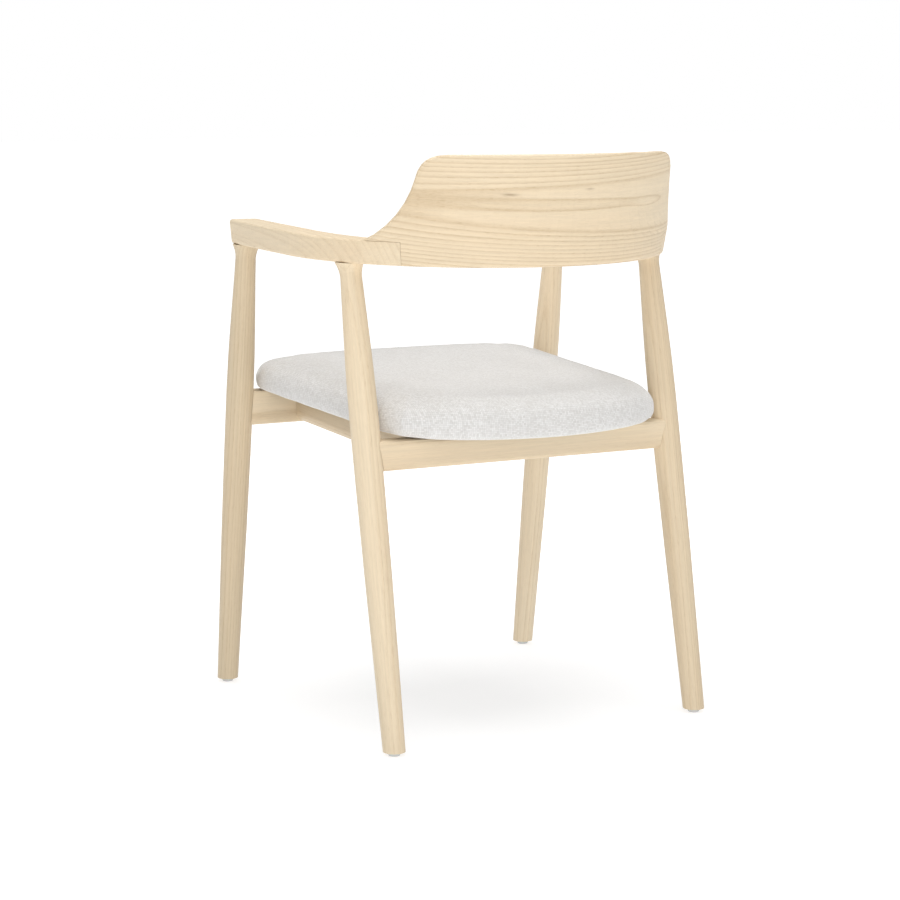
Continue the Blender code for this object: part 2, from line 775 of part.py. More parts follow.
def make_back_dowels(back, arms):
    """Two dowels across each seam between an arm and the back board."""
    for side_name, side in SIDES.items():
        here = curve_point(SEAM_AT, 0.0, LAP_HEIGHT / 2)
        beyond = curve_point(SEAM_AT + 0.01, 0.0, LAP_HEIGHT / 2)
        along = (beyond - here).normalized()
        for number, inset in enumerate(BACK_DOWEL_INSETS, start=1):
            centre = curve_point(SEAM_AT, inset, LAP_HEIGHT / 2)
            start = centre - along * BACK_DOWEL_HALF
            finish = centre + along * BACK_DOWEL_HALF
            if side < 0.0:
                start.x = -start.x
                finish.x = -finish.x
            add_dowel(f"dowel_back_{side_name}_{number}", axis_matrix(start, finish),
                      0.0, 2 * BACK_DOWEL_HALF, (back, arms[side_name]))


# ---------------------------------------------------------------------------- seat
def pad_ring(inset, height, droop=0.0):
    """Outline of the pad in the seat frame, drawn in by an inset, at a height.

    The droop lowers the rear of the ring smoothly, most in the middle.
    """
    ring = []
    for i in range(PAD_POINTS):
        angle = math.tau * i / PAD_POINTS
        cosine = math.cos(angle)
        sine = math.sin(angle)
        spread = abs(cosine) ** PAD_CORNER_EXPONENT + abs(sine) ** PAD_CORNER_EXPONENT
        reach = spread ** (-1.0 / PAD_CORNER_EXPONENT)
        across = reach * cosine
        rearward = (reach * sine + 1.0) / 2
        half_width = PAD_FRONT_HALF + (PAD_REAR_HALF - PAD_FRONT_HALF) * rearward
        front_y = PAD_FRONT_Y + PAD_FRONT_BOW * across ** 2 + inset
        rear_y = PAD_REAR_Y - PAD_REAR_BOW * across ** 2 - inset
        hang = max(0.0, 2 * rearward - 1.0) ** 2 * (1.0 - across ** 4 / 4)
        ring.append(Vector((across * (half_width - inset),
                            front_y + (rear_y - front_y) * rearward, height - droop * hang)))
    return ring


def make_seat():
    """Dust cover, plywood panel, foam and fabric cover, stacked on the rails."""
    place = seat_matrix()
    base = RAIL_HEIGHT + GAP
    dust = ring_mesh("seat_dust_cover", [pad_ring(DUST_INSET, base),
                                         pad_ring(DUST_INSET, base + DUST_THICKNESS)])
    lining = add_part("seat_dust_cover", dust, "black_lining", place)

    low = base + DUST_THICKNESS + GAP
    high = low + PANEL_THICKNESS
    board = ring_mesh("seat_panel", [pad_ring(PANEL_INSET, low), pad_ring(PANEL_INSET, high)])
    panel = add_part("seat_panel", board, "plywood", place)

    outer = [pad_ring(inset, height, PAD_DROOP * (i < 3))
             for i, (inset, height) in enumerate(PAD_PROFILE)]
    inner = [pad_ring(inset + COVER_THICKNESS, height - COVER_THICKNESS * (i > 3),
                      PAD_DROOP * (i < 3))
             for i, (inset, height) in enumerate(PAD_PROFILE)]
    skin = ring_mesh("seat_cover", list(reversed(inner)) + outer)
    shade(skin)
    add_part("seat_cover", skin, "woven_fabric", place)

    slack = COVER_THICKNESS + GAP
    foam_rings = [pad_ring(PAD_PROFILE[1][0] + slack, high + GAP)]
    foam_rings += [pad_ring(inset + slack, height - slack * (i > 3))
                   for i, (inset, height) in enumerate(PAD_PROFILE) if i > 2]
    core = ring_mesh("seat_foam", foam_rings)
    shade(core)
    add_part("seat_foam", core, "seat_foam", place)
    return lining, panel


def make_seat_screws(side_rails, lining, panel):
    """Screws up through the side rails into the seat panel, their heads countersunk."""
    head_low = SCREW_SEAT - SCREW_HEAD_HEIGHT
    outline = [
        (0.0, SCREW_TOP),
        (SCREW_RADIUS, SCREW_TOP - 0.004),
        (SCREW_RADIUS, SCREW_SEAT),
        (SCREW_HEAD_RADIUS, SCREW_SEAT),
        (SCREW_HEAD_RADIUS, head_low + 0.001),
        (SCREW_HEAD_RADIUS - 0.001, head_low),
        (0.0, head_low),
    ]
    for side_name, side in SIDES.items():
        for end, y in zip(ENDS, SCREW_YS):
            place = seat_matrix() @ Matrix.Translation((side * SCREW_X, y, 0.0))
            name = f"seat_screw_{end}_{side_name}"
            screw = add_part(name, profile_mesh(name, outline), "zinc_steel", place)
            add_screw(screw, 12)

            shank = cylinder_mesh(name + "_hole", SCREW_RADIUS + GAP, SCREW_TOP + GAP, 12)
            lift = Matrix.Translation((0.0, 0.0, (SCREW_TOP + GAP) / 2))
            hole = add_cutter(shank.name, shank, place @ lift)
            bore = cylinder_mesh(name + "_counterbore", SCREW_HEAD_RADIUS + GAP,
                                 2 * (SCREW_SEAT + GAP), 16)
            counterbore = add_cutter(bore.name, bore, place)
            for piece in (side_rails[side_name], lining, panel):
                add_boolean(piece, hole)
            add_boolean(side_rails[side_name], counterbore)


# ---------------------------------------------------------------------------- build
clear_scene()
PARTS = make_collection("armchair")
CUTTERS = make_collection("cutters")
MORTISES = {}
ROOMS = {}


def build_chair():
    legs = {}
    for end in ENDS:
        for side_name, side in SIDES.items():
            leg = make_leg(end, side_name, side)
            make_glide(end, side_name, side, leg)
            legs[end, side_name] = leg
    arms = {side_name: make_arm(side_name, side) for side_name, side in SIDES.items()}
    back = make_back()
    make_back_dowels(back, arms)
    depths = {"front": FRONT_RAIL_Y, "rear": REAR_RAIL_Y}
    rails = {end: make_cross_rail(end, depth) for end, depth in depths.items()}
    for end, depth in depths.items():
        make_rail_dowels(end, depth, rails[end], legs)
    side_rails = {side_name: make_side_rail(side_name, side)
                  for side_name, side in SIDES.items()}
    make_side_dowels(rails, side_rails)
    lining, panel = make_seat()
    make_seat_screws(side_rails, lining, panel)


build_chair()
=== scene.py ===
"""Looks of the wooden armchair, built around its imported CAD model.

Metres, +Z up. The chair faces -Y and stands on the floor at Z = 0.
"""
import math

import bmesh
import bpy
import numpy as np
from mathutils import Matrix, Vector


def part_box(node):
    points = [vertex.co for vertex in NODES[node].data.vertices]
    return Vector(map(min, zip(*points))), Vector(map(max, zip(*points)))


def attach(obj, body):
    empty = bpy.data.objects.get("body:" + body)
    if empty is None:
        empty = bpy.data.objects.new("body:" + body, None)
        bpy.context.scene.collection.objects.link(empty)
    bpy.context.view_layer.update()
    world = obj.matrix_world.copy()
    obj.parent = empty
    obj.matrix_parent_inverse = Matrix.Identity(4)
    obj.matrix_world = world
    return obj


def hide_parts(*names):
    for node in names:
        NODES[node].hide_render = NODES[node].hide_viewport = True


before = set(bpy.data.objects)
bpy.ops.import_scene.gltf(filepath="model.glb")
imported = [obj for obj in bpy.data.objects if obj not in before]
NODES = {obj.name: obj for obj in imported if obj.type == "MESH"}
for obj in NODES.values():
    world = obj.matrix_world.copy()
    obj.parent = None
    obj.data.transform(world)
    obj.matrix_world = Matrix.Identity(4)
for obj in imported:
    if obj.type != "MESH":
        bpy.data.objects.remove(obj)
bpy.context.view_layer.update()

# ------------------------------------------------------------------------- settings
CAMERA_AT = Vector((1.7381, 3.0200, 0.8656))
CAMERA_YAW = 3.6566             # radians from +Y, turning towards +X
CAMERA_PITCH = -0.1458
CAMERA_LENS = 101.35            # mm, on a 36 mm sensor

FLOOR_SIZE = 60.0
WORLD_LIGHT = 0.30              # strength of the all-round studio light
WORLD_SIDE = 0.03               # how much stronger it is on the key light's side
LIGHTS_AIM = 0.45               # height that the lamps point at, on the chair's middle
KEY_PLACE = (0.9, -2.5, 2.3)    # left of, ahead of and above that point, for the camera
KEY_SIZE = (2.4, 2.4)
KEY_POWER = 13.0
FILL_PLACE = (-0.6, -3.2, 0.1)
FILL_SIZE = (2.6, 0.9)
FILL_POWER = 26.0
TOP_PLACE = (0.0, 0.0, 2.9)
TOP_SIZE = (2.8, 2.8)
TOP_POWER = 96.0
FLOOR_GLOW = 0.72               # painted light: the glow that no shadow dims, kept lower near the chair as painted shade
FLOOR_GLOW_FAR = 1.00           # and the same well away from the chair
FLOOR_FADE = (0.35, 1.60)       # where that painted shade fades out: from this far to this far from its middle
FLOOR_SHADE = 0.42              # share that shadows dim
FLOOR_MOTTLE = 1.03             # how much paler its palest spots are

THREAD_PITCH = 0.0023
YARN_DARK = (0.620, 0.605, 0.584, 1.0)
YARN_PALE = (0.800, 0.794, 0.784, 1.0)
YARN_FLECK = (0.50, 0.46, 0.42, 1.0)
YARN_CLOUD = (0.56, 0.545, 0.52, 1.0)
FABRIC_SHEEN = 0.55
FABRIC_SHEEN_ROUGHNESS = 0.45
FABRIC_SPECULAR = 0.18
WEAVE_RELIEF = 0.00035          # metres from a hollow of the weave to a thread's crown
PLY_THICKNESS = 0.0028          # a pair of the plywood's layers
PLY_SLOPE_SHARE = 0.75          # of the panel's rise that comes from the seat's slope
LINING_PITCH = 0.003            # between the lining's pressed bonds

CUSHION_VOXEL = 0.004
CUSHION_PRESSURE = 4.0
CUSHION_MASS = 0.3
CUSHION_STRETCH = 15.0          # stiffness of the fabric against stretching
CUSHION_BEND = 2.0              # and against bending
CUSHION_FRAMES = 20
CUSHION_CAP = 0.0018            # how far the simulation may move a point
CUSHION_SINK = 0.0004           # how far of that may be inwards
CUSHION_SHRINK = 0.0003         # the pad starts this much smaller, then swells
FACING_DOWN = -0.60             # the pad is held where its surface faces down this much
RECESS_ROOM = 0.0008            # round and over the lining, under the pad
RECESS_DEPTH = 0.0300
LINING_RIM = 0.1000             # the lining's edge lies further than this from its middle
CUSHION_FOLD = 0.0004           # the folded-under fabric lies this much below the panel


# ---------------------------------------------------------------- node graph helpers
class Graph:
    """Short names for making and linking a material's shader nodes."""

    def __init__(self, name):
        self.material = bpy.data.materials.new(name)
        self.material.use_nodes = True
        self.tree = self.material.node_tree
        self.shader = self.tree.nodes["Principled BSDF"]

    def node(self, kind, settings=None, **inputs):
        made = self.tree.nodes.new(kind)
        for key, value in (settings or {}).items():
            setattr(made, key, value)
        for key, value in inputs.items():
            self.feed(made.inputs[key.replace("_", " ")], value)
        return made

    def feed(self, socket, value):
        if isinstance(value, bpy.types.NodeSocket):
            self.tree.links.new(value, socket)
        else:
            socket.default_value = value

    def math(self, operation, first, second=0.0, third=0.0, clamp=False):
        """One number from up to three, which are sockets or constants."""
        made = self.tree.nodes.new("ShaderNodeMath")
        made.operation = operation
        made.use_clamp = clamp
        for socket, value in zip(made.inputs, (first, second, third)):
            self.feed(socket, value)
        return made.outputs[0]

    def vector(self, operation, first, second=(0.0, 0.0, 0.0)):
        made = self.tree.nodes.new("ShaderNodeVectorMath")
        made.operation = operation
        self.feed(made.inputs[0], first)
        self.feed(made.inputs[1], second)
        return made.outputs[1] if operation == "LENGTH" else made.outputs[0]

    def split(self, vector):
        return self.node("ShaderNodeSeparateXYZ", Vector=vector).outputs

    def join(self, x, y, z):
        return self.node("ShaderNodeCombineXYZ", X=x, Y=y, Z=z).outputs[0]

    def place(self):
        """The shaded point in metres, in the chair's own frame."""
        return self.node("ShaderNodeTexCoord").outputs["Object"]

    def noise(self, vector, detail=2.0, rough=0.5, scale=1.0):
        made = self.node("ShaderNodeTexNoise", Vector=vector, Scale=scale, Detail=detail,
                         Roughness=rough)
        return made.outputs["Fac"]

    def stretch(self, value, low, high, start=0.0, end=1.0):
        """Map low..high to start..end, held at both ends."""
        made = self.node("ShaderNodeMapRange", {"clamp": True})
        for socket, number in zip(made.inputs, (value, low, high, start, end)):
            self.feed(socket, number)
        return made.outputs[0]

    def ramp(self, value, stops):
        """A grey level that runs straight from each (place, level) stop to the next."""
        made = self.node("ShaderNodeValToRGB", Fac=value)
        band = made.color_ramp
        band.interpolation = "LINEAR"
        while len(band.elements) < len(stops):
            band.elements.new(0.5)
        for element, (place, level) in zip(band.elements, stops):
            element.position = place
            element.color = grey(level)
        return made.outputs["Color"]

    def mix(self, share, first, second, blend="MIX"):
        made = self.node("ShaderNodeMix", {"data_type": "RGBA", "blend_type": blend})
        self.feed(made.inputs[0], share)
        self.feed(made.inputs[6], first)
        self.feed(made.inputs[7], second)
        return made.outputs[2]

    def pick(self, share, first, second):
        """First where the share is 0, second where it is 1."""
        gap = self.math("SUBTRACT", second, first)
        return self.math("MULTIPLY_ADD", gap, share, first)

    def bump(self, height, distance, strength):
        made = self.node("ShaderNodeBump", Height=height, Distance=distance, Strength=strength)
        return made.outputs[0]

    def finish(self, colour, roughness, normal):
        self.feed(self.shader.inputs["Base Color"], colour)
        self.feed(self.shader.inputs["Roughness"], roughness)
        self.feed(self.shader.inputs["Normal"], normal)
        return self.material


def rgb(red, green, blue):
    return (red, green, blue, 1.0)


def grey(level):
    return rgb(level, level, level)


# ------------------------------------------------------------------------------ wood
PALE_WOOD = rgb(0.760, 0.640, 0.462)
WARM_WOOD = rgb(0.755, 0.612, 0.425)
EARLY_WOOD = rgb(0.560, 0.415, 0.245)
PORE_WOOD = rgb(0.400, 0.260, 0.140)
KNOT_WOOD = rgb(0.240, 0.150, 0.080)
LACQUER_SPECULAR = 0.38
LACQUER_COAT = 0.06
LACQUER_COAT_ROUGHNESS = 0.42
GRAIN_RELIEF = 0.00012          # metres between a pore's floor and the surface

BEND_HALF_WIDTH = 0.273         # the ellipse that the arms and the back follow
BEND_DEPTH = 0.2602
BEND_MIDDLE_Y = -0.0048
BEND_LEAN = 0.17                # the back board leans out by this much of its height
HEART_DEPTH = 0.033             # of the rings' centre, inside the back board's outer face
HEART_HEIGHT = 0.7005
HEART_SLANT = 0.045             # it comes nearer to the face towards the chair's right
HEART_SAG = 0.20                # and lies lowest in the middle


def grain_frame(node):
    """Rotation and centre that put a node's longest direction along local X."""
    mesh = NODES[node].data
    points = np.array([vertex.co for vertex in mesh.vertices])
    centre = points.mean(axis=0)
    _, _, axes = np.linalg.svd(points - centre, full_matrices=False)
    along = Vector(axes[0])
    if along.dot(Vector((1.0, 1.0, 1.0))) < 0.0:
        along = -along
    side = along.cross(Vector((0.0, 0.0, 1.0)) if abs(along.z) < 0.9 else Vector((0.0, 1.0, 0.0)))
    side.normalize()
    up = side.cross(along)
    return Matrix((along, side, up)), Vector(centre)


def straight_grain(graph, node):
    """Coordinates in metres with X along the grain of a straight piece."""
    turn, centre = grain_frame(node)
    shift = -(turn @ centre)
    mapping = graph.node("ShaderNodeMapping", {"vector_type": "POINT"}, Vector=graph.place())
    mapping.inputs["Rotation"].default_value = turn.to_euler("XYZ")
    mapping.inputs["Location"].default_value = shift
    return mapping.outputs[0]


def bent_grain(graph, half_width, depth, middle_y, lean):
    """Coordinates in metres that follow the bend of the back: along, depth, height."""
    x, y, z = graph.split(graph.place())
    radius = (half_width + depth) / 2
    across = graph.math("DIVIDE", x, half_width)
    back = graph.math("DIVIDE", graph.math("SUBTRACT", y, middle_y), depth)
    angle = graph.math("ARCTAN2", across, back)
    along = graph.math("MULTIPLY", angle, radius)
    reach = graph.math("SQRT", graph.math("ADD", graph.math("MULTIPLY", across, across),
                                          graph.math("MULTIPLY", back, back)))
    inward = graph.math("MULTIPLY", graph.math("SUBTRACT", reach, 1.0), radius)
    upright = graph.math("SUBTRACT", inward, graph.math("MULTIPLY", z, lean))
    return graph.join(along, upright, z)


def soft_spot(graph, grain, place, size):
    """One at a place in the grain coordinates, fading to nought over the given size."""
    painted_glow = graph.vector("DIVIDE", graph.vector("SUBTRACT", grain, place), size)
    near = graph.vector("LENGTH", painted_glow)
    return graph.math("POWER", math.e, graph.math("MULTIPLY", graph.math("MULTIPLY", near, near),
                                                  -1.0))


def scaled(graph, vector, along, across, seed=0.0):
    """A copy of the grain coordinates for a noise: stretched, and moved to its own place."""
    grown = graph.vector("MULTIPLY", vector, (along, across, across))
    return graph.vector("ADD", grown, (seed * 3.17, seed * 7.31, seed * 5.53))


def wood_colour(graph, grain, pith, ring, seed, drift, boldness, spread=1.3, evenness=0.35,
                core=None, humps=(), marks=()):
    """Colour, early-wood share, fibre and pores of ash from its grain coordinates."""
    slow = graph.noise(scaled(graph, grain, 1.6, 9.0, seed), detail=2.0)
    quick = graph.noise(scaled(graph, grain, 7.0, 60.0, seed + 1.0), detail=2.0)
    wander = graph.math("MULTIPLY", graph.math("SUBTRACT", slow, 0.5), drift)
    ripple = graph.math("MULTIPLY", graph.math("SUBTRACT", quick, 0.5), drift * 0.10)
    offset = graph.vector("SUBTRACT", grain, pith)
    radius = graph.vector("LENGTH", graph.vector("MULTIPLY", offset, (0.0, 1.0, 1.0)))
    radius = graph.math("ADD", graph.math("ADD", radius, wander), ripple)
    if core:
        outer = graph.math("MAXIMUM", graph.math("SUBTRACT", radius, core[0]), 0.0)
        inner = graph.math("MINIMUM", graph.math("SUBTRACT", radius, core[0]), 0.0)
        turns = graph.math("MULTIPLY_ADD", inner, 1.0 / core[1],
                           graph.math("DIVIDE", outer, ring))
        turns = graph.math("ADD", turns, 9.0)
    else:
        turns = graph.math("DIVIDE", radius, ring)
    for place, size, lift in humps:
        turns = graph.math("MULTIPLY_ADD", soft_spot(graph, grain, place, size), lift, turns)
    uneven = graph.node("ShaderNodeTexNoise", {"noise_dimensions": "1D"},
                        W=graph.math("ADD", graph.math("MULTIPLY", turns, 0.45), seed),
                        Scale=1.0, Detail=1.0).outputs["Fac"]
    turns = graph.math("MULTIPLY_ADD", graph.math("SUBTRACT", uneven, 0.5), spread, turns)
    share = graph.math("FRACT", turns)
    early = graph.ramp(share, [(0.0, 0.90), (0.07, 1.0), (0.18, 0.55), (0.40, 0.20),
                               (0.75, 0.02), (0.93, 0.10), (1.0, 0.90)])
    patch = graph.noise(scaled(graph, grain, 5.0, 55.0, seed + 2.0), detail=3.0)
    early = graph.math("MULTIPLY", early, graph.stretch(patch, 0.25, 0.72, evenness, 1.0))

    fibre = graph.noise(scaled(graph, grain, 22.0, 850.0, seed + 3.0), detail=3.0, rough=0.6)
    coarse = graph.noise(scaled(graph, grain, 7.0, 260.0, seed + 4.0), detail=2.0)
    spots = graph.noise(scaled(graph, grain, 90.0, 2600.0, seed + 5.0), detail=0.0)
    pores = graph.math("MULTIPLY", graph.stretch(spots, 0.60, 0.70),
                       graph.math("MULTIPLY_ADD", early, 0.75, 0.25), clamp=True)

    cloud = graph.noise(scaled(graph, grain, 2.2, 16.0, seed + 6.0), detail=2.0)
    colour = graph.mix(graph.stretch(cloud, 0.30, 0.70), PALE_WOOD, WARM_WOOD)
    colour = graph.mix(graph.math("MULTIPLY", early, boldness), colour, EARLY_WOOD)
    streak = graph.math("ADD", graph.math("MULTIPLY", fibre, 0.5),
                        graph.math("MULTIPLY", coarse, 0.5))
    shade = graph.stretch(streak, 0.30, 0.70, 0.925, 1.05)
    colour = graph.vector("MULTIPLY", colour, graph.join(shade, shade, shade))
    colour = graph.mix(graph.math("MULTIPLY", pores, 0.38), colour, PORE_WOOD)
    for place, size, depth in marks:
        spot = graph.math("MULTIPLY", soft_spot(graph, grain, place, size), depth)
        colour = graph.mix(spot, colour, KNOT_WOOD)
    return colour, early, fibre, pores


def lacquered(graph, colour, early, fibre, pores, tone=1.0):
    """Matte-lacquered finish over a wood colour."""
    colour = graph.vector("MULTIPLY", colour, (tone, tone ** 1.08, tone ** 1.25))
    roughness = graph.math("MULTIPLY_ADD", fibre, 0.12, 0.44)
    roughness = graph.math("MULTIPLY_ADD", pores, 0.18, roughness)
    depth = graph.math("MULTIPLY_ADD", early, -0.35, graph.math("MULTIPLY", fibre, 0.25))
    depth = graph.math("MULTIPLY_ADD", pores, -1.0, depth)
    normal = graph.bump(depth, GRAIN_RELIEF, 0.55)
    graph.shader.inputs["Specular IOR Level"].default_value = LACQUER_SPECULAR
    graph.shader.inputs["Coat Weight"].default_value = LACQUER_COAT
    graph.shader.inputs["Coat Roughness"].default_value = LACQUER_COAT_ROUGHNESS
    return graph.finish(colour, roughness, normal)


def make_wood(node, pith, ring, seed, drift=0.012, boldness=0.42, tone=1.0, humps=()):
    graph = Graph(f"ash_{node}")
    grain = straight_grain(graph, node)
    parts = wood_colour(graph, grain, pith, ring, seed, drift, boldness, humps=humps)
    return lacquered(graph, *parts, tone=tone)


def back_face():
    """How far out the back board's outer face lies in its own grain coordinates."""
    points = points_of(NODES["back_board"].data)
    across = points[:, 0] / BEND_HALF_WIDTH
    back = (points[:, 1] - BEND_MIDDLE_Y) / BEND_DEPTH
    radius = (BEND_HALF_WIDTH + BEND_DEPTH) / 2
    outward = (np.hypot(across, back) - 1.0) * radius - BEND_LEAN * points[:, 2]
    return float(np.percentile(outward, 99.5))


def make_back_wood():
    """Bold flat-sawn grain that follows the bent back board.

    The rings' centre runs just inside the outer face, and comes nearer to it towards the
    chair's right. There the pale middle zone is widest, with one long tongue of grain in it.
    """
    graph = Graph("ash_back_board")
    grain = bent_grain(graph, BEND_HALF_WIDTH, BEND_DEPTH, BEND_MIDDLE_Y, BEND_LEAN)
    along, outward, height = graph.split(grain)
    face = back_face()
    nearer = graph.math("MULTIPLY_ADD", along, HEART_SLANT, outward)
    sag = graph.math("MULTIPLY_ADD", graph.math("MULTIPLY", along, along), -HEART_SAG, height)
    grain = graph.join(along, nearer, sag)
    depth = face - 0.01
    tongue = ((-0.024, depth, 0.7045), (0.165, 1.0, 0.0079), 0.62)
    swirl = ((-0.135, depth, 0.7020), (0.028, 1.0, 0.0050), 0.80)
    knot = ((0.082, depth, 0.7180), (0.0095, 1.0, 0.0016), 0.62)
    small_knot = ((-0.022, depth, 0.7250), (0.0060, 1.0, 0.0012), 0.40)
    parts = wood_colour(graph, grain, (0.0, face - HEART_DEPTH, HEART_HEIGHT), 0.0045, 11.0,
                        0.004, 0.70, spread=0.5, evenness=0.65, core=(0.044, 0.043),
                        humps=(tongue, swirl), marks=(knot, small_knot))
    return lacquered(graph, *parts)


def make_dowel_wood():
    graph = Graph("beech_dowels")
    place = graph.place()
    fleck = graph.noise(graph.vector("MULTIPLY", place, (700.0, 700.0, 220.0)), detail=2.0)
    cloud = graph.noise(graph.vector("MULTIPLY", place, (40.0, 40.0, 40.0)), detail=2.0)
    colour = graph.mix(cloud, rgb(0.62, 0.42, 0.26), rgb(0.70, 0.50, 0.33))
    colour = graph.mix(graph.stretch(fleck, 0.55, 0.75, 0.0, 0.4), colour, rgb(0.45, 0.28, 0.16))
    return graph.finish(colour, graph.stretch(fleck, 0.0, 1.0, 0.5, 0.7),
                        graph.bump(fleck, 0.0001, 0.4))


def make_plywood():
    """Birch ply: pale face veneer, and layers of alternating tone across its edge."""
    graph = Graph("seat_plywood")
    _, y, z = graph.split(graph.place())
    low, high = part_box("seat_panel")
    fall = (high.z - low.z) / (high.y - low.y)
    level = graph.math("MULTIPLY_ADD", y, fall * PLY_SLOPE_SHARE, z)
    layer = graph.math("FRACT", graph.math("MULTIPLY", level, 1.0 / PLY_THICKNESS))
    band = graph.stretch(graph.math("ABSOLUTE", graph.math("SUBTRACT", layer, 0.5)), 0.2, 0.3)
    fibre = graph.noise(graph.vector("MULTIPLY", graph.place(), (30.0, 600.0, 600.0)), detail=3.0)
    colour = graph.mix(band, rgb(0.66, 0.50, 0.33), rgb(0.48, 0.34, 0.21))
    colour = graph.mix(graph.stretch(fibre, 0.4, 0.7, 0.0, 0.35), colour, rgb(0.40, 0.28, 0.17))
    return graph.finish(colour, graph.stretch(fibre, 0.0, 1.0, 0.55, 0.75),
                        graph.bump(fibre, 0.0001, 0.4))


# -------------------------------------------------------------------- other materials
def make_fabric():
    """Pale grey melange plain weave, laid flat on the top and down the sides."""
    graph = Graph("woven_fabric")
    place = graph.place()
    x, y, z = graph.split(place)
    nx, ny, nz = graph.split(graph.node("ShaderNodeTexCoord").outputs["Normal"])
    flat = graph.math("GREATER_THAN", graph.math("ABSOLUTE", nz), 0.70)
    sideways = graph.math("GREATER_THAN", graph.math("ABSOLUTE", nx), graph.math("ABSOLUTE", ny))
    turned = graph.math("MULTIPLY", sideways, graph.math("SUBTRACT", 1.0, flat))
    across = graph.pick(turned, x, y)
    along = graph.pick(flat, z, y)

    wobble = graph.noise(graph.vector("MULTIPLY", place, (35.0, 35.0, 35.0)), detail=1.0)
    u = graph.math("MULTIPLY_ADD", wobble, 0.5, graph.math("DIVIDE", across, THREAD_PITCH))
    v = graph.math("MULTIPLY_ADD", wobble, 0.5, graph.math("DIVIDE", along, THREAD_PITCH))
    column = graph.math("FLOOR", u)
    row = graph.math("FLOOR", v)
    odd = graph.math("ABSOLUTE", graph.math("MODULO", graph.math("ADD", column, row), 2.0))
    in_u = graph.math("SUBTRACT", graph.math("FRACT", u), 0.5)
    in_v = graph.math("SUBTRACT", graph.math("FRACT", v), 0.5)
    thin = graph.pick(odd, in_u, in_v)
    long = graph.pick(odd, in_v, in_u)
    ridge = graph.math("MULTIPLY_ADD", graph.math("MULTIPLY", thin, thin), -3.2, 1.0)
    ridge = graph.math("MULTIPLY_ADD", graph.math("MULTIPLY", long, long), -1.6, ridge)

    stitch = graph.node("ShaderNodeTexWhiteNoise", {"noise_dimensions": "3D"},
                        Vector=graph.join(column, row, odd)).outputs["Value"]
    slub_u = graph.noise(graph.join(graph.math("MULTIPLY", u, 0.12), row, 3.0), detail=1.0)
    slub_v = graph.noise(graph.join(column, graph.math("MULTIPLY", v, 0.12), 7.0), detail=1.0)
    slub = graph.pick(odd, slub_u, slub_v)
    cloud = graph.noise(graph.vector("MULTIPLY", place, (14.0, 9.0, 9.0)), detail=2.0)
    fuzz = graph.noise(graph.vector("MULTIPLY", place, (2600.0, 2600.0, 2600.0)), detail=2.0)

    tone = graph.math("MULTIPLY_ADD", slub, 0.8, graph.math("MULTIPLY", stitch, 0.6))
    yarn = graph.mix(graph.stretch(tone, 0.25, 1.10), YARN_DARK, YARN_PALE)
    yarn = graph.mix(graph.stretch(stitch, 0.92, 0.98, 0.0, 0.25), yarn, YARN_FLECK)
    yarn = graph.mix(graph.stretch(cloud, 0.40, 0.65, 0.0, 0.16), yarn, YARN_CLOUD)
    # Painted shade in the hollows between threads, and a faint painted highlight on their crowns.
    weave_shade = graph.stretch(ridge, 0.0, 0.9, 0.86, 1.02)
    colour = graph.vector("MULTIPLY", yarn, graph.join(weave_shade, weave_shade, weave_shade))
    relief = graph.math("MULTIPLY_ADD", fuzz, 0.25, ridge)
    relief = graph.math("MULTIPLY_ADD", stitch, 0.20, relief)
    graph.shader.inputs["Sheen Weight"].default_value = FABRIC_SHEEN
    graph.shader.inputs["Sheen Roughness"].default_value = FABRIC_SHEEN_ROUGHNESS
    graph.shader.inputs["Specular IOR Level"].default_value = FABRIC_SPECULAR
    roughness = graph.stretch(fuzz, 0.0, 1.0, 0.84, 0.97)
    return graph.finish(colour, roughness, graph.bump(relief, WEAVE_RELIEF, 0.6))


def make_lining():
    """Black non-woven dust cover: short pressed fibres and a faint grid of bonds."""
    graph = Graph("black_lining")
    place = graph.place()
    x, y, _ = graph.split(place)
    felt = graph.noise(graph.vector("MULTIPLY", place, (900.0, 300.0, 900.0)), detail=4.0)
    turn = math.tau / LINING_PITCH
    dots = graph.math("MULTIPLY", graph.math("SINE", graph.math("MULTIPLY", x, turn)),
                      graph.math("SINE", graph.math("MULTIPLY", y, turn)))
    bond = graph.stretch(dots, 0.55, 0.85)
    colour = graph.mix(felt, rgb(0.012, 0.012, 0.013), rgb(0.040, 0.040, 0.042))
    colour = graph.mix(graph.math("MULTIPLY", bond, 0.5), colour, rgb(0.008, 0.008, 0.008))
    relief = graph.math("MULTIPLY_ADD", bond, -0.6, felt)
    return graph.finish(colour, graph.stretch(felt, 0.2, 0.8, 0.75, 0.95),
                        graph.bump(relief, 0.0003, 0.6))


def make_plastic():
    """Cloudy grey-white glide plastic with moulding mottle and scuffs underneath."""
    graph = Graph("glide_plastic")
    place = graph.place()
    mottle = graph.noise(graph.vector("MULTIPLY", place, (220.0, 220.0, 220.0)), detail=3.0)
    scuff = graph.noise(graph.vector("MULTIPLY", place, (2600.0, 300.0, 900.0)), detail=2.0)
    colour = graph.mix(mottle, rgb(0.52, 0.54, 0.55), rgb(0.66, 0.68, 0.69))
    colour = graph.mix(graph.stretch(scuff, 0.62, 0.75, 0.0, 0.35), colour, rgb(0.36, 0.36, 0.36))
    graph.shader.inputs["Subsurface Weight"].default_value = 0.15
    graph.shader.inputs["Subsurface Scale"].default_value = 0.002
    return graph.finish(colour, graph.stretch(scuff, 0.3, 0.7, 0.30, 0.50),
                        graph.bump(scuff, 0.00008, 0.4))


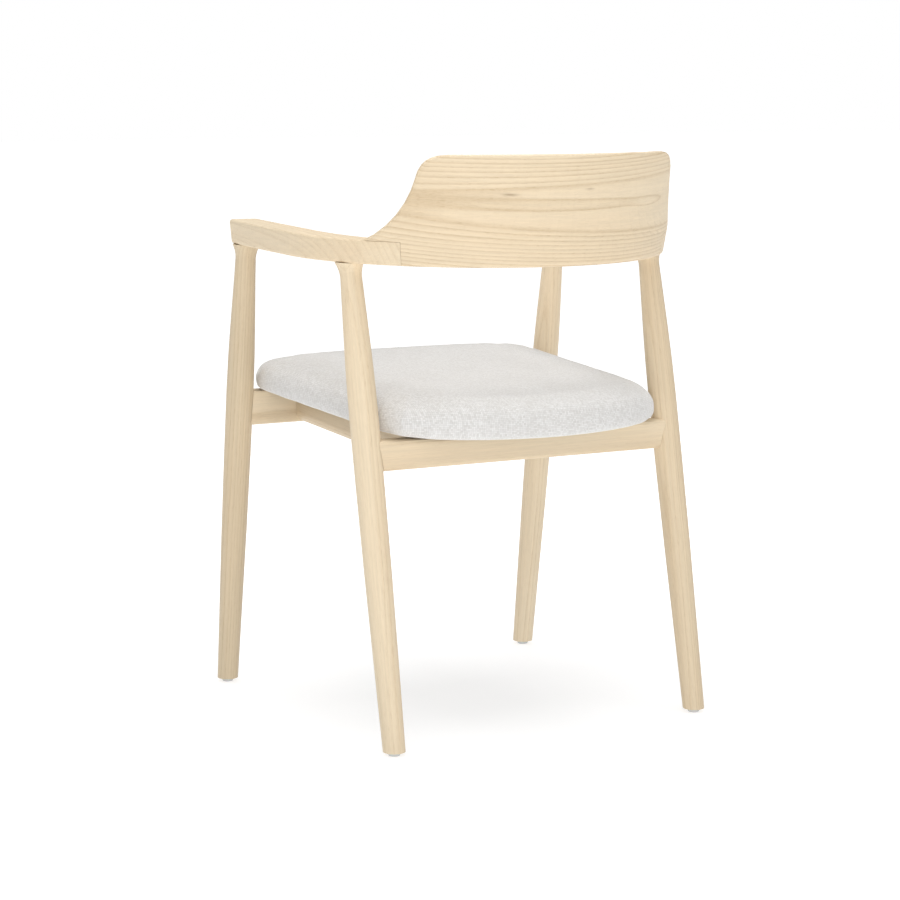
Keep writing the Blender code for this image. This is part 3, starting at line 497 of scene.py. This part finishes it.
def make_zinc():
    """Zinc-plated steel: cold, slightly mottled, with turning lines."""
    graph = Graph("zinc_steel")
    place = graph.place()
    mottle = graph.noise(graph.vector("MULTIPLY", place, (700.0, 700.0, 700.0)), detail=3.0)
    lines = graph.noise(graph.vector("MULTIPLY", place, (200.0, 200.0, 7000.0)), detail=1.0)
    colour = graph.mix(mottle, rgb(0.50, 0.51, 0.52), rgb(0.68, 0.69, 0.70))
    graph.shader.inputs["Metallic"].default_value = 1.0
    return graph.finish(colour, graph.stretch(lines, 0.2, 0.8, 0.28, 0.46),
                        graph.bump(lines, 0.00005, 0.3))


def make_floor():
    """Seamless white studio paper that glows as painted light, so that shadows on it stay faint;
    it glows less near the chair, as painted shade.
    """
    graph = Graph("studio_paper")
    mottle = graph.noise(graph.place(), scale=3.0, detail=2.0)
    colour = graph.mix(mottle, grey(FLOOR_SHADE), grey(FLOOR_SHADE * FLOOR_MOTTLE))
    graph.shader.inputs["Specular IOR Level"].default_value = 0.0
    graph.shader.inputs["Emission Color"].default_value = grey(1.0)
    # Painted light and shade: the floor glows, and glows less near the chair, as a painted shade
    # round it.
    painted_glow = graph.stretch(graph.vector("LENGTH", graph.place()), *FLOOR_FADE, FLOOR_GLOW,
                         FLOOR_GLOW_FAR)
    graph.feed(graph.shader.inputs["Emission Strength"], painted_glow)
    return graph.finish(colour, 0.95, graph.bump(mottle, 0.0001, 0.1))


# ----------------------------------------------------------------------- CAD finishes
def paint(node, material):
    """Give a CAD node one material."""
    for slot in NODES[node].material_slots:
        slot.material = material


def paint_frame():
    """Give every wooden, plastic and metal CAD node its own detailed finish."""
    looks = {
        "leg_front_left": dict(pith=(0, 0.060, 0.020), ring=0.0042, seed=2.1, tone=0.86),
        "leg_front_right": dict(pith=(0, -0.050, 0.045), ring=0.0050, seed=3.4, tone=1.07),
        "leg_rear_left": dict(pith=(0, 0.055, -0.045), ring=0.0062, seed=5.2, boldness=0.30,
                              tone=1.03),
        "leg_rear_right": dict(pith=(0, -0.062, 0.030), ring=0.0046, seed=6.7, tone=0.96),
        "arm_left": dict(pith=(0, 0.110, -0.060), ring=0.0065, seed=8.3, boldness=0.26),
        "arm_right": dict(pith=(0, -0.105, -0.065), ring=0.0062, seed=9.1, boldness=0.30),
        "rail_front": dict(pith=(0, 0.050, 0.030), ring=0.0058, seed=12.5, boldness=0.52),
        "rail_rear": dict(pith=(0, -0.045, -0.020), ring=0.0062, seed=13.8, boldness=0.62,
                          tone=0.99, humps=(((-0.120, 0.0, 0.0), (0.030, 0.04, 0.012), 1.3),)),
        "rail_side_left": dict(pith=(0, 0.070, 0.030), ring=0.0055, seed=15.2, tone=0.88),
        "rail_side_right": dict(pith=(0, -0.060, 0.040), ring=0.0055, seed=16.9, tone=0.98),
    }
    for node, look in looks.items():
        paint(node, make_wood(node, **look))
    paint("back_board", make_back_wood())
    zinc = make_zinc()
    shared = {
        "dowel_": make_dowel_wood(),
        "glide_": make_plastic(),
        "glide_pin_": zinc,
        "seat_screw_": zinc,
        "seat_dust_cover": make_lining(),
        "seat_panel": make_plywood(),
    }
    for start, material in shared.items():
        for node in NODES:
            if node.startswith(start):
                paint(node, material)


# ---------------------------------------------------------------------------- cushion
def hull_of(points, name):
    """A closed convex form round some points, as a new object."""
    shape = bmesh.new()
    for point in points:
        shape.verts.new(point)
    made = bmesh.ops.convex_hull(shape, input=shape.verts)
    spare = [item for item in made["geom_interior"] + made["geom_unused"]
             if isinstance(item, bmesh.types.BMVert)]
    bmesh.ops.delete(shape, geom=list(set(spare)), context="VERTS")
    bmesh.ops.recalc_face_normals(shape, faces=shape.faces)
    mesh = bpy.data.meshes.new(name)
    shape.to_mesh(mesh)
    shape.free()
    piece = bpy.data.objects.new(name, mesh)
    bpy.context.scene.collection.objects.link(piece)
    return piece


def apply_modifiers(piece):
    """Bake the object's modifiers into its mesh."""
    bpy.context.view_layer.update()
    evaluated = piece.evaluated_get(bpy.context.evaluated_depsgraph_get())
    mesh = bpy.data.meshes.new_from_object(evaluated)
    piece.modifiers.clear()
    piece.data = mesh


def points_of(mesh):
    flat = np.zeros(len(mesh.vertices) * 3)
    mesh.vertices.foreach_get("co", flat)
    return flat.reshape(-1, 3)


def set_points(mesh, points):
    mesh.vertices.foreach_set("co", points.ravel())
    mesh.update()


def normals_of(mesh):
    flat = np.zeros(len(mesh.vertices) * 3)
    mesh.vertices.foreach_get("normal", flat)
    return flat.reshape(-1, 3)


def seat_plane():
    """Origin and upward normal of the sloping seat, from the dust cover's corners."""
    points = points_of(NODES["seat_dust_cover"].data)
    centre = points.mean(axis=0)
    _, _, axes = np.linalg.svd(points - centre, full_matrices=False)
    up = axes[2] * (1.0 if axes[2][2] > 0.0 else -1.0)
    return centre, up


def make_cushion():
    """The pad: a closed form remeshed, swollen by cloth under pressure, and smoothed."""
    cushion = hull_of(points_of(NODES["seat_cover"].data), "seat_cushion")
    remesh = cushion.modifiers.new("remesh", "REMESH")
    remesh.mode = "VOXEL"
    remesh.voxel_size = CUSHION_VOXEL
    apply_modifiers(cushion)
    relax = cushion.modifiers.new("relax", "SMOOTH")
    relax.factor = 0.5
    relax.iterations = 1
    apply_modifiers(cushion)

    points = points_of(cushion.data)
    start = points - normals_of(cushion.data) * CUSHION_SHRINK
    _, up = seat_plane()
    under = normals_of(cushion.data) @ up < FACING_DOWN
    start[under] = points[under] - up * CUSHION_FOLD
    set_points(cushion.data, start)
    swell(cushion, under, start)
    soften = cushion.modifiers.new("soften", "SMOOTH")
    soften.factor = 0.5
    soften.iterations = 2
    smooth = cushion.modifiers.new("surface", "SUBSURF")
    smooth.levels = 1
    smooth.render_levels = 1
    apply_modifiers(cushion)
    cut_recess(cushion)
    cushion.data.shade_smooth()
    cushion.data.materials.clear()
    cushion.data.materials.append(make_fabric())
    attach(cushion, "root")
    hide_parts("seat_cover", "seat_foam")


def cut_recess(cushion):
    """Open the pad's underside for the lining, which lies inside the folded-under rim."""
    points = points_of(NODES["seat_dust_cover"].data)
    centre, up = seat_plane()
    level = (points - centre) @ up
    outward = points - points.mean(axis=0)
    outward -= np.outer(outward @ up, up)
    outward /= np.linalg.norm(outward, axis=1)[:, None]
    grown = points + outward * RECESS_ROOM
    above = grown + np.outer(level.max() - level + RECESS_ROOM, up)
    below = grown - np.outer(level + RECESS_DEPTH, up)
    rim = np.linalg.norm((points - points.mean(axis=0)), axis=1) > LINING_RIM
    cutter = hull_of(np.concatenate([above[rim], below[rim]]), "recess")
    cut = cushion.modifiers.new("recess", "BOOLEAN")
    cut.operation = "DIFFERENCE"
    cut.solver = "EXACT"
    cut.object = cutter
    apply_modifiers(cushion)
    bpy.data.objects.remove(cutter)


def swell(cushion, pinned, start):
    """Blow the pad up a little as cloth, held by its underside, and cap the movement."""
    group = cushion.vertex_groups.new(name="held")
    group.add([int(i) for i in np.nonzero(pinned)[0]], 1.0, "REPLACE")
    cloth = cushion.modifiers.new("cloth", "CLOTH")
    cloth.settings.quality = 5
    cloth.settings.mass = CUSHION_MASS
    cloth.settings.tension_stiffness = CUSHION_STRETCH
    cloth.settings.compression_stiffness = CUSHION_STRETCH
    cloth.settings.bending_stiffness = CUSHION_BEND
    cloth.settings.use_pressure = True
    cloth.settings.uniform_pressure_force = CUSHION_PRESSURE
    cloth.settings.effector_weights.gravity = 0.0
    cloth.settings.vertex_group_mass = "held"
    cloth.collision_settings.use_collision = False
    cloth.collision_settings.use_self_collision = False
    cloth.point_cache.frame_start = 1
    cloth.point_cache.frame_end = CUSHION_FRAMES
    scene = bpy.context.scene
    for step in range(1, CUSHION_FRAMES + 1):
        scene.frame_set(step)
    evaluated = cushion.evaluated_get(bpy.context.evaluated_depsgraph_get())
    swollen = points_of(evaluated.to_mesh())
    evaluated.to_mesh_clear()
    cushion.modifiers.clear()
    scene.frame_set(1)
    move = swollen - start
    length = np.linalg.norm(move, axis=1)
    move *= np.minimum(1.0, CUSHION_CAP / np.maximum(length, 1e-9))[:, None]
    normals = normals_of(cushion.data)
    outward = (move * normals).sum(axis=1)
    move += normals * (np.maximum(outward, -CUSHION_SINK) - outward)[:, None]
    set_points(cushion.data, start + move)


# ------------------------------------------------------------------------------ stage
def add_floor():
    bpy.ops.mesh.primitive_plane_add(size=FLOOR_SIZE)
    floor = bpy.context.object
    floor.name = "studio_floor"
    floor.data.materials.append(make_floor())


def add_area(name, at, target, size, power):
    light = bpy.data.lights.new(name, "AREA")
    light.shape = "RECTANGLE"
    light.size = size[0]
    light.size_y = size[1]
    light.energy = power
    lamp = bpy.data.objects.new(name, light)
    lamp.location = at
    lamp.rotation_euler = (target - at).to_track_quat("-Z", "Y").to_euler()
    bpy.context.scene.collection.objects.link(lamp)


def camera_direction():
    level = math.cos(CAMERA_PITCH)
    return Vector((math.sin(CAMERA_YAW) * level, math.cos(CAMERA_YAW) * level,
                   math.sin(CAMERA_PITCH)))


def add_camera():
    data = bpy.data.cameras.new("camera")
    data.lens = CAMERA_LENS
    data.sensor_width = 36.0
    camera = bpy.data.objects.new("camera", data)
    camera.location = CAMERA_AT
    camera.rotation_euler = camera_direction().to_track_quat("-Z", "Y").to_euler()
    bpy.context.scene.collection.objects.link(camera)
    bpy.context.scene.camera = camera


def add_lights():
    """A soft key on the camera's left, a low wide fill beside it, and a big one overhead."""
    ahead = camera_direction()
    ahead.z = 0.0
    ahead.normalize()
    left = Vector((-ahead.y, ahead.x, 0.0))
    aim = Vector((0.0, 0.0, LIGHTS_AIM))
    lamps = {
        "key_light": (KEY_PLACE, KEY_SIZE, KEY_POWER),
        "fill_light": (FILL_PLACE, FILL_SIZE, FILL_POWER),
        "top_light": (TOP_PLACE, TOP_SIZE, TOP_POWER),
    }
    for name, (place, size, power) in lamps.items():
        at = aim + left * place[0] + ahead * place[1] + Vector((0.0, 0.0, place[2]))
        add_area(name, at, aim, size, power)
    return left


def add_world(left):
    """White backdrop; the light it gives is stronger from the key light's side."""
    world = bpy.data.worlds.new("studio")
    bpy.context.scene.world = world
    world.use_nodes = True
    tree = world.node_tree
    tree.nodes.clear()
    coordinates = tree.nodes.new("ShaderNodeTexCoord")
    dot = tree.nodes.new("ShaderNodeVectorMath")
    dot.operation = "DOT_PRODUCT"
    dot.inputs[1].default_value = left
    tree.links.new(coordinates.outputs["Generated"], dot.inputs[0])
    level = tree.nodes.new("ShaderNodeMath")
    level.operation = "MULTIPLY_ADD"
    level.inputs[1].default_value = WORLD_SIDE
    level.inputs[2].default_value = WORLD_LIGHT
    tree.links.new(dot.outputs["Value"], level.inputs[0])
    lit = tree.nodes.new("ShaderNodeBackground")
    tree.links.new(level.outputs[0], lit.inputs["Strength"])
    seen = tree.nodes.new("ShaderNodeBackground")
    seen.inputs["Strength"].default_value = 1.0
    for shader in (lit, seen):
        shader.inputs["Color"].default_value = grey(1.0)
    rays = tree.nodes.new("ShaderNodeLightPath")
    choose = tree.nodes.new("ShaderNodeMixShader")
    tree.links.new(rays.outputs["Is Camera Ray"], choose.inputs[0])
    tree.links.new(lit.outputs[0], choose.inputs[1])
    tree.links.new(seen.outputs[0], choose.inputs[2])
    output = tree.nodes.new("ShaderNodeOutputWorld")
    tree.links.new(choose.outputs[0], output.inputs["Surface"])


def set_stage():
    bpy.context.scene.view_settings.view_transform = "Standard"
    add_camera()
    add_floor()
    add_world(add_lights())


# ------------------------------------------------------------------------------ build
set_stage()
paint_frame()
make_cushion()
